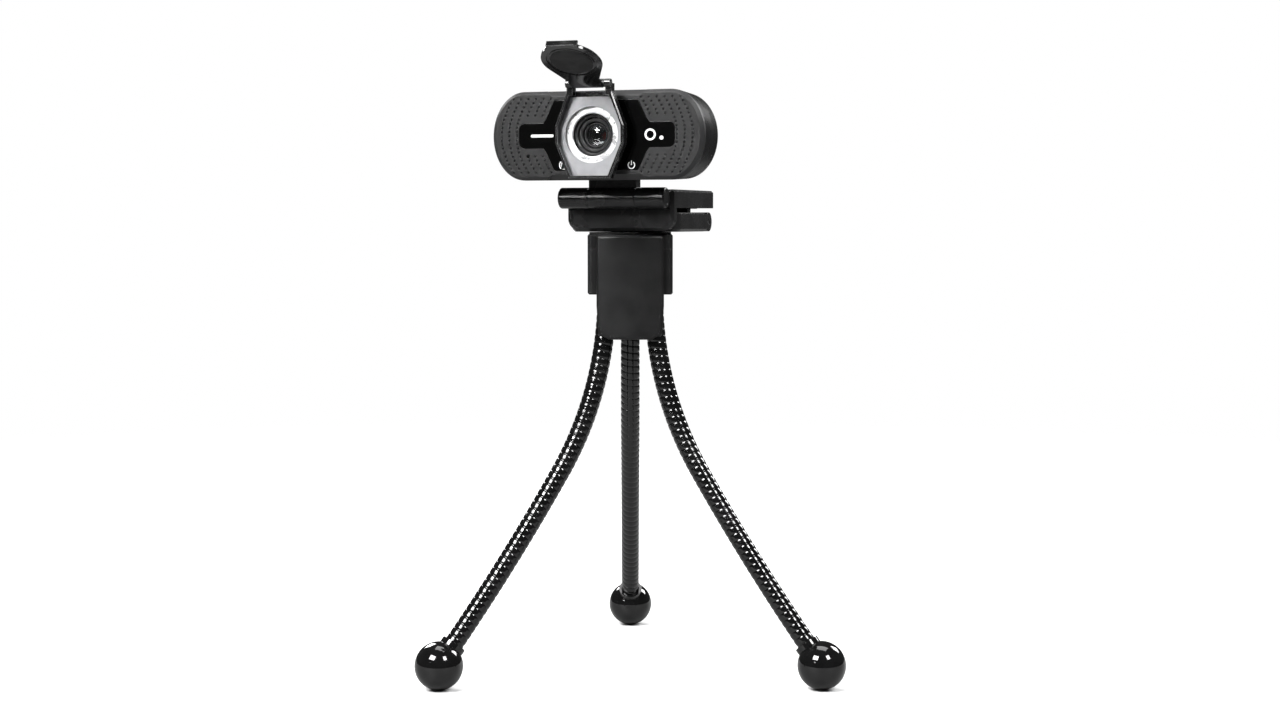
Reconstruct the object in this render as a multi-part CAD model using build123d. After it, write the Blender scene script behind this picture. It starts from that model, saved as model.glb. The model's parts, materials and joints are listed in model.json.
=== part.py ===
from build123d import *
import math
import os

# A clip-on webcam standing on a small tripod with bendable legs, built as separate pieces.
# Row frame: millimetres, +Z up, X to the right as seen from in front of the lens.
# The webcam looks along -Y. The origin is on the floor, under the tripod stud's axis.

# ---------------------------------------------------------------- driving dimensions
# Heights above the floor. CLIP_Z is the datum that the clip and camera are set out from.
FOOT_R = 9.6
CLIP_Z = 181.77
LENS_Z = CLIP_Z + 35.5
FACE_Y = -39.0  # front plane of the camera's bezel, measured from the stud's axis

# Camera housing
HOUSING_W = 88.0
HOUSING_H = 34.8
END_RX = 13.5  # half width of the elliptical ends
BEZEL_T = 3.2
BEZEL_CHAMFER = 1.3
HOUSING_D = 27.0
SHELL_WALL = 2.0
SHELL_TAPER = 0.9  # how much narrower each side is at the back
SHELL_ROUND = 8.0
FIT = 0.1  # gap between pieces that only lie beside each other
SHELL_FRONT = BEZEL_T + 0.02
PEG_R = 1.0
PEG_X = 34.2
PEG_Z = 8.2

# Circuit board inside the housing
BOARD_FRONT = 13.0
BOARD_BACK = 14.4
BOARD_SCREW_X = 23.0
BOARD_SCREW_Z = 9.0
BOARD_SCREW_R = 0.8
LAMP_Z = -11.5

# Window and the boss that carries the lens
WINDOW_HALF_W = 17.4
WINDOW_HALF_H = 13.7
WAIST_HALF_W = 20.8
WAIST_Z = 6.6
WING_HALF_W = 32.4
WING_HALF_H = 4.9
WINDOW_T = 1.4
BOSS_R = 12.3
BOSS_PROUD = 2.8
RING_R = 11.8
RING_INNER_R = 8.3
RING_T = 0.8
RING_FRONT = -(BOSS_PROUD + RING_T)

# Dotted pattern of blind holes in the bezel
DOT_R = 0.45
DOT_DEPTH = 0.6
DOT_TOP_Z = 14.4
DOT_ROWS = 19
DOT_LINES = 6
DOT_LINE_PITCH = 3.2
DOT_FIRST_X = 34.7
DOT_BULGE = 5.1
MIC_HOLE_R = 0.7

# Privacy cover
COVER_BACK = RING_FRONT - 0.3
COVER_T = 3.8
COVER_FRONT = COVER_BACK - COVER_T
COVER_WALL = 1.2
COVER_FLOOR_T = 0.6
COVER_PLATE_T = 0.3
COVER_HALF_W = 14.2
COVER_HOLE_R = 10.9
COVER_TOP = 16.6
COVER_BOTTOM = -17.0
COVER_PLATE_TOP = 14.6
EAR_X = 8.0
EAR_T = 2.4
EAR_BOTTOM = 15.0
LID_HALF_W = EAR_X - EAR_T / 2 - 0.4
LID_PIN_Z = 19.6
LID_PIN_R = 0.6
LID_KNUCKLE_R = 1.6
LID_T = 1.6
LID_R = 11.75
LID_CENTRE_Z = 0.7  # where the round part's centre is when the lid is closed
LID_OPEN_DEG = 117.0
LID_PIN_Y = COVER_FRONT - 0.2

# Tilt hinge between camera and clip
TILT_Y = FACE_Y + 19.3
TILT_Z = CLIP_Z + 11.3
TILT_R = 4.2
TILT_HALF_LEN = 22.5
STEM_HALF_W = 10.0
STEM_FRONT = TILT_Y - 1.2  # the stem stands behind the front of its knuckle
STEM_MID = (STEM_FRONT + TILT_Y + TILT_R) / 2
TILT_PIN_R = 1.5

# Clip base: a flat plate with a lip that hangs down at the front
BASE_HALF_W = 22.8
BASE_FRONT = FACE_Y + 26.7
BASE_BACK = FACE_Y + 81.5
BASE_TOP = CLIP_Z + 14.8
BASE_UNDER = CLIP_Z + 7.5
LIP_T = 4.3
LIP_BOTTOM = CLIP_Z - 1.8
LEDGE_Z = CLIP_Z + 6.8

# Clip leg, folded up under the base
LEG_HINGE_Y = FACE_Y + 78.0
LEG_HINGE_Z = CLIP_Z + 1.8
LEG_HINGE_R = 4.0
LEG_PIN_R = 1.25
LEG_HALF_W = 23.4
LEG_NECK_HALF_W = 21.2
LEG_LUG_HALF_W = 12.0
LEG_BOTTOM = CLIP_Z - 2.2
LEG_TOP = CLIP_Z + 5.2
LEG_FRONT = BASE_FRONT + LIP_T + 0.6
PAD_T = 1.0
STUD_R = 3.175  # quarter-inch camera screw
INSERT_R = 5.0
RUNNING = 0.05

# Tripod head. Its front is turned from the webcam's front by TRIPOD_YAW.
TRIPOD_YAW = 20.0
HEAD_PAD_T = 0.8
HEAD_TOP = LEG_BOTTOM - HEAD_PAD_T - 0.1
HEAD_H = 24.4
HEAD_CAP_T = 6.0
HEAD_HALF_W = 17.2
HEAD_FRONT = -12.0
HEAD_REAR = 17.0
TONGUE_HALF_W = 13.6
TONGUE_T = 4.2
TONGUE_BOTTOM = CLIP_Z - 47.0

# Tripod legs: a round gooseneck that runs down, then out, then nearly straight to a ball
NECK_R = 3.9
ROOT_R = 11.0  # distance of each leg's root from the stud's axis
LEG_AZIMUTHS = {"left": -60.0, "right": 60.0, "rear": 180.0}
CURVE_TOP = HEAD_TOP - HEAD_H
CURVE_RADIUS = 129.0
BEND_DEG = 33.5  # lean of a leg where the tight curve ends
FOOT_DEG = 39.6  # lean of a leg at its foot
LOWER_LEN = 91.5  # length of the gentle curve, down to the ball's centre
FIRST_HINGE = 23.5  # distances down the leg
SECOND_HINGE = CURVE_RADIUS * math.radians(BEND_DEG)
THIRD_HINGE = SECOND_HINGE + 45.0
CUP_START = 1.15  # a segment's rim starts this far past its hinge
SOCKET_DEPTH = 15.0

PARTS = {}


# ---------------------------------------------------------------- small helpers
def face_slab(sketch, front, back):
    """A sketch seen from the camera's front, thickened between two depths behind the bezel's front plane."""
    plane = Plane(origin=(0, FACE_Y + back, LENS_Z), x_dir=(1, 0, 0), z_dir=(0, -1, 0))
    return extrude(plane * sketch, amount=back - front)


def face_disc(radius, front, back, x=0.0, z=0.0):
    """A round disc whose axis points along the camera's view."""
    return face_slab(Pos(x, z) * Circle(radius), front, back)


def face_ring(outer, inner, front, back, x=0.0, z=0.0):
    """A flat ring round an axis that points along the camera's view."""
    return face_disc(outer, front, back, x, z) - face_disc(inner, front - 1, back + 1, x, z)


def face_block(x, z, width, height, front, back):
    """A rectangular block set out from the lens centre."""
    return face_slab(Pos(x, z) * Rectangle(width, height), front, back)


def x_rod(radius, x0, x1, y, z):
    """A rod along X."""
    return Pos((x0 + x1) / 2, y, z) * Rot(0, 90, 0) * Cylinder(radius, x1 - x0)


def z_rod(radius, z0, z1, x=0.0, y=0.0):
    """A rod along Z."""
    return Pos(x, y, (z0 + z1) / 2) * Cylinder(radius, z1 - z0)


def block(x0, x1, y0, y1, z0, z1):
    """A block between two corners."""
    return Pos((x0 + x1) / 2, (y0 + y1) / 2, (z0 + z1) / 2) * Box(x1 - x0, y1 - y0, z1 - z0)


def side_prism(points, x0, x1):
    """A (y, z) outline carried along X from x0 to x1."""
    plane = Plane(origin=(x0, 0, 0), x_dir=(0, 1, 0), z_dir=(1, 0, 0))
    return extrude(plane * make_face(Polyline(*points, close=True)), amount=x1 - x0)


def outline(points):
    """A flat face inside a closed run of points."""
    return make_face(Polyline(*points, close=True))


def mirrored(points):
    """The points, followed by their mirror images in reverse order, for an outline symmetric in x."""
    return points + [(-x, y) for x, y in reversed(points)]


def soften(shape, edges, sizes, cut=fillet):
    """Rounds or chamfers edges with the first size that the shape allows."""
    for size in sizes:
        try:
            done = cut(edges, size)
        except Exception:
            continue
        if done.is_valid and done.volume > 0:
            return done
    return shape


def export_all():
    """Writes one STEP for each piece, named after its node."""
    os.makedirs("parts", exist_ok=True)
    for name, shape in PARTS.items():
        solids = shape.solids()
        whole = solids[0] if len(solids) == 1 else Compound(children=list(solids))
        whole.label = name
        export_step(whole, f"parts/{name}.step")


# ---------------------------------------------------------------- camera housing
def housing_sketch(inset=0.0, end_rx=END_RX):
    """The housing's front view: straight top and bottom, elliptical ends."""
    half_w = HOUSING_W / 2 - inset
    half_h = HOUSING_H / 2 - inset
    rx = end_rx - inset * 0.6
    straight = half_w - rx
    sketch = Rectangle(2 * straight, 2 * half_h)
    for side in (-1, 1):
        sketch += Pos(side * straight, 0) * Ellipse(rx, half_h)
    return sketch


def window_sketch(grow=0.0):
    """The glossy window: a tall centre with a narrow wing to each side."""
    quarter = [
        (WINDOW_HALF_W + grow * 0.8, WINDOW_HALF_H + grow),
        (WAIST_HALF_W + grow, WAIST_Z + grow * 0.6),
        (WAIST_HALF_W + 1.2 + grow, WING_HALF_H + grow),
        (WING_HALF_W + grow, WING_HALF_H + grow),
    ]
    right = quarter + [(x, -z) for x, z in reversed(quarter)]
    sketch = outline(mirrored(right))
    wing_ends = [v for v in sketch.vertices() if abs(v.X) > WING_HALF_W + grow - 1]
    sketch = fillet(wing_ends, 2.6)
    shoulders = [v for v in sketch.vertices() if abs(v.Y) > WINDOW_HALF_H + grow - 1]
    return fillet(shoulders, 1.2)


def dot_places():
    """Places of the dots on the bezel, with the one that is the microphone's hole marked."""
    pitch = 2 * DOT_TOP_Z / (DOT_ROWS - 1)
    for side in (-1, 1):
        for line in range(DOT_LINES):
            for row in range(DOT_ROWS):
                z = DOT_TOP_Z - row * pitch
                x = DOT_FIRST_X - line * DOT_LINE_PITCH + DOT_BULGE * (1 - (z / DOT_TOP_Z) ** 2)
                meets_wing = line > 2 and abs(z) < WING_HALF_H + 1.7
                if not meets_wing:
                    yield side * x, z, side == -1 and line == 3 and row == 14


def front_bezel():
    """The dark front frame, with a chamfered edge, a wider chamfer in its middle, and the dots."""
    body = face_slab(housing_sketch(), 0, BEZEL_T)
    front_edges = body.edges().filter_by_position(Axis.Y, FACE_Y - 0.01, FACE_Y + 0.01)
    body = soften(body, front_edges, (BEZEL_CHAMFER, BEZEL_CHAMFER * 0.7), chamfer)
    half_h = HOUSING_H / 2
    for side in (-1, 1):
        facet = side_prism(
            [
                (FACE_Y - 1, LENS_Z + side * (half_h - 3.3)),
                (FACE_Y - 1, LENS_Z + side * (half_h + 1)),
                (FACE_Y + 2.1, LENS_Z + side * (half_h + 1)),
                (FACE_Y + 2.1, LENS_Z + side * (half_h + 0.05)),
            ],
            -22,
            22,
        )
        ends = face_slab(
            outline(mirrored([(17.2, side * (half_h - 3.6)), (21.4, side * (half_h + 0.8))])), -3, 4
        )
        body -= facet & ends
    body -= face_slab(window_sketch(FIT), -1, WINDOW_T + FIT)
    body -= face_slab(window_sketch(-1.1), -1, BEZEL_T + 1)
    holes = []
    for x, z, is_mic in dot_places():
        if is_mic:
            holes.append(face_disc(MIC_HOLE_R, -1, BEZEL_T + 1, x, z))
        else:
            holes.append(face_disc(DOT_R, -1, DOT_DEPTH, x, z))
    body -= holes
    for x, z in four_places(PEG_X, PEG_Z):
        body += face_disc(PEG_R, BEZEL_T - 1, 11.0, x, z)
    PARTS["front_bezel"] = body


def face_window():
    """The glossy black plate, open round the lens boss."""
    plate = face_slab(window_sketch(), 0, WINDOW_T)
    PARTS["face_window"] = plate - face_disc(BOSS_R + FIT, -1, WINDOW_T + 1)


def shell_hull(inset, back, rounding):
    """The rear shell as a solid lump, made smaller all round by an inset."""
    plane = Plane(origin=(0, FACE_Y, LENS_Z), x_dir=(1, 0, 0), z_dir=(0, -1, 0))
    near = plane.offset(-SHELL_FRONT) * housing_sketch(inset)
    far = plane.offset(-back) * housing_sketch(inset + SHELL_TAPER)
    body = loft([near.faces()[0], far.faces()[0]], ruled=True)
    rear = body.edges().filter_by_position(Axis.Y, FACE_Y + back - 0.01, FACE_Y + back + 0.01)
    return soften(body, rear, (rounding, rounding * 0.8, rounding * 0.6, 3.0, 2.0))


def four_places(x, z):
    """Four places, one in each quarter round the lens."""
    return [(side_x * x, side_z * z) for side_x in (-1, 1) for side_z in (-1, 1)]


def back_shell():
    """The hollow rear shell, with a rounded back, a hole for the gland, and posts for bezel and board."""
    shell = shell_hull(0.0, HOUSING_D, SHELL_ROUND)
    shell -= shell_hull(SHELL_WALL, HOUSING_D - SHELL_WALL, SHELL_ROUND - SHELL_WALL)
    shell -= face_disc(4.1, HOUSING_D - 6, HOUSING_D + 2)
    for x, z in four_places(PEG_X, PEG_Z):
        shell += face_disc(2.5, 4.0, HOUSING_D - SHELL_WALL - 0.5, x, z)
        shell -= face_disc(PEG_R + 0.02, 3.0, 14.0, x, z)
    for x, z in four_places(BOARD_SCREW_X, BOARD_SCREW_Z):
        shell += face_disc(2.3, BOARD_BACK + 0.02, HOUSING_D - SHELL_WALL + 0.5, x, z)
        shell -= face_disc(BOARD_SCREW_R + 0.02, BOARD_BACK - 1, BOARD_BACK + 6.5, x, z)
    PARTS["back_shell"] = shell


def board_screws():
    """Four small screws that hold the circuit board on the shell's posts."""
    screws = []
    for x, z in four_places(BOARD_SCREW_X, BOARD_SCREW_Z):
        head = face_disc(1.7, BOARD_FRONT - 1.1, BOARD_FRONT - 0.02, x, z)
        screws.append(head + face_disc(BOARD_SCREW_R, BOARD_FRONT - 0.02, BOARD_BACK + 6.0, x, z))
    PARTS["board_screws"] = Compound(children=screws)


def cable_gland():
    """A rubber grommet in the shell's back, bored for the cable."""
    gland = face_disc(4.0, HOUSING_D - 5.5, HOUSING_D + 0.02)
    gland += face_disc(5.4, HOUSING_D + 0.02, HOUSING_D + 1.6)
    gland += face_disc(5.4, HOUSING_D - 5.5, HOUSING_D - 2.6) & face_disc(5.0, 0, HOUSING_D)
    outer = gland.edges().filter_by_position(Axis.Y, FACE_Y + HOUSING_D + 1.55, FACE_Y + HOUSING_D + 1.65)
    gland = soften(gland, outer, (0.7, 0.4))
    PARTS["cable_gland"] = gland - face_disc(2.0, HOUSING_D - 8, HOUSING_D + 4)


# ---------------------------------------------------------------- lens and electronics
def lens_boss():
    """The round black boss that stands out of the window and carries the ring and the lens."""
    boss = face_disc(BOSS_R, -BOSS_PROUD, 5.0)
    front = boss.edges().filter_by_position(Axis.Y, FACE_Y - BOSS_PROUD - 0.01, FACE_Y - BOSS_PROUD + 0.01)
    boss = soften(boss, front, (0.4,), chamfer)
    boss += face_disc(14.5, BEZEL_T + 0.05, 5.0)
    PARTS["lens_boss"] = boss - face_disc(RING_INNER_R, -10, 10)


def lens_ring():
    """The bright metal ring on the boss, with two small notches across it."""
    ring = face_ring(RING_R, RING_INNER_R, RING_FRONT, -BOSS_PROUD)
    front = ring.edges().filter_by_position(Axis.Y, FACE_Y + RING_FRONT - 0.01, FACE_Y + RING_FRONT + 0.01)
    ring = soften(ring, front, (0.3,), chamfer)
    for angle in (52, 232):
        notch = Pos(RING_R + 0.2, 0) * Rectangle(1.4, 1.0)
        ring -= face_slab(Rot(0, 0, angle) * notch, RING_FRONT - 1, RING_FRONT + 0.4)
    PARTS["lens_ring"] = ring


def lens_parts():
    """The stepped lens barrel, its retaining ring, the glass elements and the filter."""
    bezel = face_ring(RING_INNER_R - 0.05, 6.9, -1.9, 6.0)
    inner = bezel.edges().filter_by_position(Axis.Y, FACE_Y - 1.91, FACE_Y - 1.89)
    PARTS["lens_surround"] = soften(bezel, inner, (0.35,), chamfer)

    barrel = face_ring(6.8, 5.2, -0.9, 9.0)
    barrel += face_ring(6.8, 3.3, 5.0, 9.0)
    rim = barrel.edges().filter_by_position(Axis.Y, FACE_Y - 0.91, FACE_Y - 0.89)
    PARTS["lens_barrel"] = soften(barrel, rim, (0.4,), chamfer)

    retainer = face_ring(5.15, 4.0, 0.2, 2.4)
    rim = retainer.edges().filter_by_position(Axis.Y, FACE_Y + 0.19, FACE_Y + 0.21)
    PARTS["lens_retainer"] = soften(retainer, rim, (0.45,), chamfer)

    dome_r = 7.6
    dome_y = FACE_Y + 0.45 + dome_r
    front_glass = face_disc(3.95, -2, 2.2) & (Pos(0, dome_y, LENS_Z) * Sphere(dome_r))
    PARTS["front_glass"] = front_glass
    PARTS["rear_glass"] = face_disc(3.2, 5.2, 7.0)
    PARTS["lens_spacer"] = face_ring(5.1, 3.3, 2.45, 4.95)
    PARTS["filter_disc"] = face_disc(3.1, 7.2, 7.6)


def electronics():
    """Sensor, lens mount, circuit board, microphones, lamps and the cable socket."""
    mount = face_block(0, 0, 17, 17, 9.1, BOARD_FRONT - 0.02)
    mount -= face_block(0, 0, 13, 13, 10.2, BOARD_FRONT + 1)
    PARTS["lens_mount"] = mount - face_disc(3.2, 8.5, 11)
    PARTS["image_sensor"] = face_block(0, 0, 9, 9, 11.6, BOARD_FRONT - 0.02)
    board = face_slab(RectangleRounded(52, 25, 2), BOARD_FRONT, BOARD_BACK)
    for x, z in four_places(BOARD_SCREW_X, BOARD_SCREW_Z):
        board -= face_disc(BOARD_SCREW_R + 0.1, BOARD_FRONT - 1, BOARD_BACK + 1, x, z)
    PARTS["main_board"] = board
    PARTS["cable_socket"] = face_block(15, -3, 9, 5, BOARD_BACK + 0.02, BOARD_BACK + 4)
    PARTS["processor_chip"] = face_block(-4, 1, 9, 9, BOARD_BACK + 0.02, BOARD_BACK + 1.1)
    mics = [face_disc(2.0, 3.4, 5.2, x, -7.9) for x in (-28.8, 28.8)]
    PARTS["microphones"] = Compound(children=mics)
    guides, lamps = [], []
    for x in (-13.6, 14.6):
        guides.append(face_disc(0.95, WINDOW_T + 0.05, 11.4, x, LAMP_Z))
        lamps.append(face_block(x, LAMP_Z, 1.6, 0.8, 11.5, BOARD_FRONT - 0.02))
    PARTS["light_guides"] = Compound(children=guides)
    PARTS["status_lamps"] = Compound(children=lamps)


# ---------------------------------------------------------------- privacy cover
def cover_frame_sketch(inset=0.0):
    """The cover's eight-sided front view, made smaller all round by an inset."""
    right = [
        (9.2 - inset * 0.7, COVER_TOP - inset),
        (COVER_HALF_W - inset, 3.4),
        (COVER_HALF_W - inset, -3.4),
        (8.6 - inset * 0.7, COVER_BOTTOM + inset),
    ]
    return outline(mirrored(right))


def cover_frame():
    """A shallow eight-sided tray round the lens: thin wall, floor with the lens hole, and two ears on top."""
    frame = face_slab(cover_frame_sketch(), COVER_FRONT, COVER_BACK)
    rim = frame.edges().filter_by_position(Axis.Y, FACE_Y + COVER_FRONT - 0.01, FACE_Y + COVER_FRONT + 0.01)
    frame = soften(frame, rim, (0.45, 0.3), chamfer)
    floor_front = COVER_BACK - COVER_FLOOR_T
    frame -= face_slab(cover_frame_sketch(COVER_WALL), COVER_FRONT - 1, floor_front)
    frame -= face_block(0, COVER_TOP, 2 * EAR_X - EAR_T, 8.0, COVER_FRONT - 1, floor_front)
    frame -= face_disc(COVER_HOLE_R, -20, 5)
    ear_mid = (LID_PIN_Z + EAR_BOTTOM) / 2
    y = FACE_Y + LID_PIN_Y
    z = LENS_Z + LID_PIN_Z
    for side in (-1, 1):
        ear = face_block(side * EAR_X, ear_mid, EAR_T, LID_PIN_Z - EAR_BOTTOM, COVER_FRONT, COVER_BACK)
        ear += x_rod(LID_KNUCKLE_R, side * EAR_X - EAR_T / 2, side * EAR_X + EAR_T / 2, y, z)
        frame += ear
    frame -= x_rod(LID_PIN_R + 0.02, -12, 12, y, z)
    PARTS["cover_frame"] = frame
    plate_back = floor_front - 0.01
    plate = face_slab(cover_frame_sketch(COVER_WALL + 0.05), plate_back - COVER_PLATE_T, plate_back)
    plate -= face_block(0, COVER_PLATE_TOP + 5, 30, 10, -20, 0)
    PARTS["cover_plate"] = plate - face_disc(COVER_HOLE_R, -20, 5)
    PARTS["lid_pin"] = x_rod(LID_PIN_R, -9.2, 9.2, y, z)


def cover_lid():
    """The lid, set out closed inside the tray, then swung open on its pin."""
    front = COVER_FRONT + 0.3
    back = front + LID_T
    tab_end = LID_PIN_Z - 30.0
    round_z = LID_CENTRE_Z
    shoulders = [
        (LID_HALF_W, LID_PIN_Z - 1.2),
        (LID_HALF_W, EAR_BOTTOM - 0.5),
        (10.8, round_z + 4.6),
        (10.8, round_z - 4.6),
        (6.2, round_z - 10),
        (6.2, tab_end),
    ]
    body = Pos(0, round_z) * Circle(LID_R) + outline(mirrored(shoulders))
    lid = face_slab(body, front, back)
    rim = lid.edges().filter_by_position(Axis.Y, FACE_Y + front - 0.01, FACE_Y + front + 0.01)
    lid = soften(lid, rim, (0.6, 0.4, 0.2), chamfer)
    lid += face_block(0, tab_end - 0.4, 12.4, 0.8, front - 0.5, back)
    lid += face_block(0, LID_PIN_Z - 1.4, 2 * LID_HALF_W, 2.8, front, back)
    y = FACE_Y + LID_PIN_Y
    z = LENS_Z + LID_PIN_Z
    lid += x_rod(LID_KNUCKLE_R, -LID_HALF_W, LID_HALF_W, y, z)
    lid -= x_rod(LID_PIN_R + RUNNING, -12, 12, y, z)
    lid -= face_disc(9.7, back - 0.5, back + 0.5, 0, round_z)
    lid += face_ring(8.9, 8.3, back - 0.6, back - 0.15, 0, round_z)
    PARTS["cover_lid"] = swing_lid(lid)
    PARTS["lid_pad"] = swing_lid(face_disc(8.2, back - 0.49, back - 0.1, 0, round_z))


def swing_lid(shape):
    """Turns a closed lid piece up to its resting, open place."""
    pin = Pos(0, FACE_Y + LID_PIN_Y, LENS_Z + LID_PIN_Z)
    return pin * Rot(-LID_OPEN_DEG, 0, 0) * pin.inverse() * shape


# ---------------------------------------------------------------- tilt hinge and clip base
def camera_stem():
    """The block under the housing that ends in the middle knuckle of the tilt hinge."""
    under = LENS_Z - HOUSING_H / 2
    seat = under + SHELL_WALL + 0.7
    stem = block(-STEM_HALF_W, STEM_HALF_W, STEM_FRONT, TILT_Y + TILT_R, TILT_Z, under + 3)
    stem -= shell_hull(-0.02, HOUSING_D + 0.02, SHELL_ROUND)
    stem += x_rod(TILT_R, -STEM_HALF_W, STEM_HALF_W, TILT_Y, TILT_Z)
    stem -= x_rod(TILT_PIN_R + RUNNING, -30, 30, TILT_Y, TILT_Z)
    shell = PARTS["back_shell"]
    screws = []
    for x in (-6.0, 6.0):
        stem -= z_rod(0.8, TILT_Z + TILT_PIN_R + 1.2, under + 4, x, STEM_MID)
        shell -= z_rod(0.85, under - 2, seat + 1, x, STEM_MID)
        shell -= z_rod(1.75, seat, seat + 5, x, STEM_MID)
        screw = z_rod(0.75, TILT_Z + TILT_PIN_R + 1.6, seat + 0.5, x, STEM_MID)
        screws.append(screw + z_rod(1.6, seat + 0.02, seat + 1.2, x, STEM_MID))
    PARTS["camera_stem"] = stem
    PARTS["back_shell"] = shell
    PARTS["stem_screws"] = Compound(children=screws)


def clip_base():
    """The flat plate with its hanging lip, the outer tilt knuckles and the rear hinge lug."""
    plate = block(-BASE_HALF_W, BASE_HALF_W, BASE_FRONT, BASE_BACK, BASE_UNDER, BASE_TOP)
    rear = plate.edges().filter_by(Axis.Z).filter_by_position(Axis.Y, BASE_BACK - 0.1, BASE_BACK + 0.1)
    plate = fillet(rear, 3.0)
    top_edges = plate.edges().filter_by_position(Axis.Z, BASE_TOP - 0.01, BASE_TOP + 0.01)
    plate = soften(plate, top_edges, (0.8, 0.5), chamfer)
    lip = block(-BASE_HALF_W, BASE_HALF_W, BASE_FRONT, BASE_FRONT + LIP_T, LIP_BOTTOM, BASE_TOP)
    for height, radius in ((LIP_BOTTOM, 5.0), (BASE_TOP, 1.6)):
        corners = lip.edges().filter_by(Axis.Y).filter_by_position(Axis.Z, height - 0.1, height + 0.1)
        lip = fillet(corners, radius)
    front = lip.edges().filter_by_position(Axis.Y, BASE_FRONT - 0.01, BASE_FRONT + 0.01)
    lip = soften(lip, front, (1.2, 0.8), chamfer)
    base = plate - block(-30, 30, BASE_FRONT - 1, BASE_FRONT + 1.5, BASE_UNDER - 1, BASE_TOP + 1) + lip
    inner = BASE_HALF_W - 1.9
    base -= block(-inner, inner, BASE_FRONT - 1, BASE_FRONT + 2.8, LEDGE_Z, BASE_TOP + 1)
    for side in (-1, 1):
        x0, x1 = sorted((side * (STEM_HALF_W + 0.25), side * (TILT_HALF_LEN - 2.2)))
        base += block(x0, x1, TILT_Y, BASE_FRONT + 3.5, TILT_Z - 3.1, TILT_Z + 2.4)
        k0, k1 = sorted((side * (STEM_HALF_W + 0.25), side * TILT_HALF_LEN))
        knuckle = x_rod(TILT_R, k0, k1, TILT_Y, TILT_Z)
        end = side * TILT_HALF_LEN
        rim = knuckle.edges().filter_by_position(Axis.X, end - 0.05, end + 0.05)
        base += soften(knuckle, rim, (0.7, 0.4))
    base -= x_rod(TILT_PIN_R + 0.02, -TILT_HALF_LEN - 2, TILT_HALF_LEN + 2, TILT_Y, TILT_Z)
    for side in (-1, 1):
        x0, x1 = sorted((side * (TILT_HALF_LEN - 1.4), side * (TILT_HALF_LEN + 1)))
        base -= x_rod(2.5, x0, x1, TILT_Y, TILT_Z)
    lug = x_rod(LEG_HINGE_R, -LEG_LUG_HALF_W, LEG_LUG_HALF_W, LEG_HINGE_Y, LEG_HINGE_Z)
    lug += block(
        -LEG_LUG_HALF_W, LEG_LUG_HALF_W, LEG_HINGE_Y - 1.2, LEG_HINGE_Y + 3.2, LEG_HINGE_Z, BASE_UNDER + 1
    )
    base += lug
    base -= x_rod(LEG_PIN_R + 0.02, -14, 14, LEG_HINGE_Y, LEG_HINGE_Z)
    pocket = block(-19.1, 19.1, BASE_FRONT + LIP_T + 3.4, LEG_HINGE_Y - 7.9, BASE_UNDER - 1, BASE_UNDER + 0.9)
    base -= pocket
    PARTS["clip_base"] = base
    pad = block(-19, 19, BASE_FRONT + LIP_T + 3.5, LEG_HINGE_Y - 8, BASE_UNDER - 0.25, BASE_UNDER + 0.88)
    PARTS["base_pad"] = fillet(pad.edges().filter_by(Axis.Z), 1.5)
    back = BASE_FRONT + LIP_T
    strip = block(-17, 17, back + 0.01, back + 0.4, LIP_BOTTOM + 2.2, BASE_UNDER - 0.6)
    PARTS["lip_pad"] = fillet(strip.edges().filter_by(Axis.Y), 1.4)


def tilt_hardware():
    """The steel pin through the tilt hinge, two friction washers and two end caps."""
    PARTS["tilt_pin"] = x_rod(TILT_PIN_R, -TILT_HALF_LEN + 1.5, TILT_HALF_LEN - 1.5, TILT_Y, TILT_Z)
    caps, washers = [], []
    for side in (-1, 1):
        x0, x1 = sorted((side * (TILT_HALF_LEN - 1.38), side * (TILT_HALF_LEN - 0.1)))
        caps.append(x_rod(2.45, x0, x1, TILT_Y, TILT_Z))
        w0, w1 = sorted((side * (STEM_HALF_W + 0.03), side * (STEM_HALF_W + 0.22)))
        washer = x_rod(3.6, w0, w1, TILT_Y, TILT_Z)
        washers.append(washer - x_rod(TILT_PIN_R + RUNNING, -20, 20, TILT_Y, TILT_Z))
    PARTS["tilt_caps"] = Compound(children=caps)
    PARTS["tilt_washers"] = Compound(children=washers)


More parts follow.
